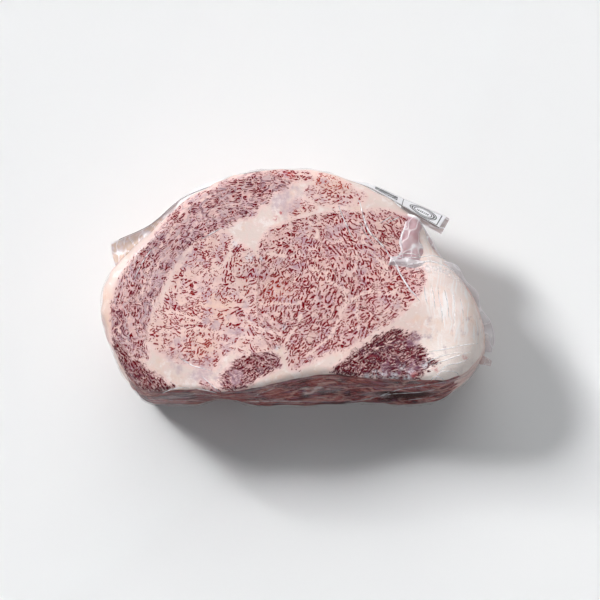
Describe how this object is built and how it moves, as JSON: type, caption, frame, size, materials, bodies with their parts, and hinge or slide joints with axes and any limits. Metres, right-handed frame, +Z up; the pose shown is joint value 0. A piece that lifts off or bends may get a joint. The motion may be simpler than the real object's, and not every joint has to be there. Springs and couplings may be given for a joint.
{
  "type": "raw beef rib roast",
  "caption": "Boneless raw rib roast, heavily marbled, vacuum packed in a clear bag and lying on one cut face, with a long paper label along its fat side.",
  "frame": {"origin": "middle of the base under the whole part", "axes": "+X along the roast towards its fat tail, +Y towards the fat side with the label, +Z up out of the upper cut face"},
  "size_m": [0.2966, 0.1764, 0.1131],
  "materials": {
    "bagged_meat": "clear film, tight and creased, over pale pink and dark red marbled raw meat",
    "label_paper": "smooth white paper with plain printed bars, rules and rings"
  },
  "bodies": {
    "root": {"bagged_rib_roast": "bagged_meat", "paper_label": "label_paper"}
  },
  "joints": []
}
